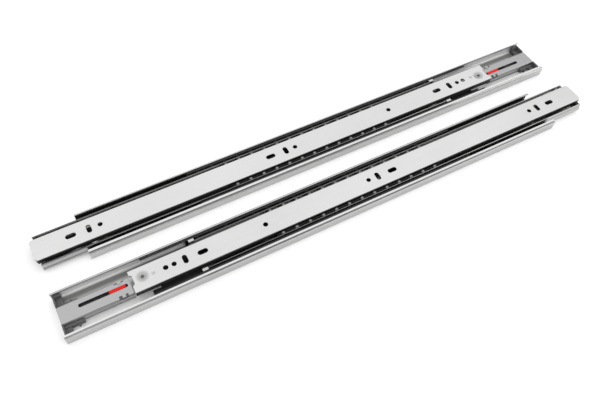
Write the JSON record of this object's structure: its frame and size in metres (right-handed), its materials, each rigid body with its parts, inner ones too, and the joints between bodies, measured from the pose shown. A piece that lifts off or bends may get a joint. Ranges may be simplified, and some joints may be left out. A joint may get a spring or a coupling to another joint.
{
  "type": "pair of telescopic ball bearing slides",
  "caption": "Pair of full-extension telescopic ball bearing slides with soft-close catches, slotted drawer members and flat cabinet members for screwing to a rack, cabinet or drawer.",
  "frame": {"origin": "middle of the pair's bounding box, on the plane the cabinet members lie on", "axes": "+X along the travel, the way the near slide opens; +Y from the near slide to the far one; +Z out of the open side of the channels"},
  "size_m": [0.545, 0.1114, 0.0127],
  "materials": {
    "zinc_steel": "satin bright zinc plating on cold-rolled sheet",
    "ball_steel": "polished bearing steel",
    "rivet_steel": "plain zinc-plated steel",
    "spring_steel": "drawn spring wire",
    "black_plastic": "matt black moulded plastic",
    "grey_plastic": "grey moulded plastic",
    "red_plastic": "red moulded plastic"
  },
  "bodies": {
    "cabinet_members": {"near_cabinet_member": "zinc_steel", "near_damper_tray": "black_plastic", "near_damper_cover": "zinc_steel", "near_tray_rivets": "rivet_steel", "near_damper_cylinder": "grey_plastic", "far_cabinet_member": "zinc_steel", "far_damper_tray": "black_plastic", "far_damper_cover": "zinc_steel", "far_tray_rivets": "rivet_steel", "far_damper_cylinder": "grey_plastic"},
    "near_intermediate": {"near_intermediate_member": "zinc_steel", "near_cage_stop": "black_plastic"},
    "near_drawer": {"near_drawer_member": "zinc_steel", "near_actuator_pin": "rivet_steel"},
    "near_outer_cage": {"near_outer_ball_cage": "black_plastic", "near_outer_balls": "ball_steel"},
    "near_inner_cage": {"near_inner_ball_cage": "black_plastic", "near_inner_balls": "ball_steel"},
    "near_catch": {"near_catch": "red_plastic", "near_damper_piston_rod": "rivet_steel", "near_catch_spring": "spring_steel"},
    "far_intermediate": {"far_intermediate_member": "zinc_steel", "far_cage_stop": "black_plastic"},
    "far_drawer": {"far_drawer_member": "zinc_steel", "far_actuator_pin": "rivet_steel"},
    "far_outer_cage": {"far_outer_ball_cage": "black_plastic", "far_outer_balls": "ball_steel"},
    "far_inner_cage": {"far_inner_ball_cage": "black_plastic", "far_inner_balls": "ball_steel"},
    "far_catch": {"far_catch": "red_plastic", "far_damper_piston_rod": "rivet_steel", "far_catch_spring": "spring_steel"}
  },
  "joints": [
    {"name": "near_intermediate_slide", "type": "slide", "parent": "cabinet_members", "child": "near_intermediate", "axis": [1, 0, 0], "range_m": [-0.042, 0.1985]},
    {"name": "near_drawer_slide", "type": "slide", "parent": "near_intermediate", "child": "near_drawer", "axis": [1, 0, 0], "range_m": [-0.0015, 0.258]},
    {"name": "near_outer_cage_slide", "type": "slide", "parent": "cabinet_members", "child": "near_outer_cage", "axis": [1, 0, 0], "range_m": [-0.021, 0.09925]},
    {"name": "near_inner_cage_slide", "type": "slide", "parent": "near_intermediate", "child": "near_inner_cage", "axis": [1, 0, 0], "range_m": [-0.00075, 0.129]},
    {"name": "near_catch_slide", "type": "slide", "parent": "cabinet_members", "child": "near_catch", "axis": [1, 0, 0], "range_m": [-0.022, 0], "deforming": ["near_catch_spring"]},
    {"name": "far_intermediate_slide", "type": "slide", "parent": "cabinet_members", "child": "far_intermediate", "axis": [-1, 0, 0], "range_m": [-0.0405, 0.2]},
    {"name": "far_drawer_slide", "type": "slide", "parent": "far_intermediate", "child": "far_drawer", "axis": [-1, 0, 0], "range_m": [-0.0015, 0.258]},
    {"name": "far_outer_cage_slide", "type": "slide", "parent": "cabinet_members", "child": "far_outer_cage", "axis": [-1, 0, 0], "range_m": [-0.02025, 0.1]},
    {"name": "far_inner_cage_slide", "type": "slide", "parent": "far_intermediate", "child": "far_inner_cage", "axis": [-1, 0, 0], "range_m": [-0.00075, 0.129]},
    {"name": "far_catch_slide", "type": "slide", "parent": "cabinet_members", "child": "far_catch", "axis": [-1, 0, 0], "range_m": [-0.022, 0], "deforming": ["far_catch_spring"]}
  ],
  "couplings": [
    {"joint": "near_outer_cage_slide", "follows": "near_intermediate_slide", "ratio": 0.5},
    {"joint": "near_inner_cage_slide", "follows": "near_drawer_slide", "ratio": 0.5},
    {"joint": "far_outer_cage_slide", "follows": "far_intermediate_slide", "ratio": 0.5},
    {"joint": "far_inner_cage_slide", "follows": "far_drawer_slide", "ratio": 0.5}
  ]
}
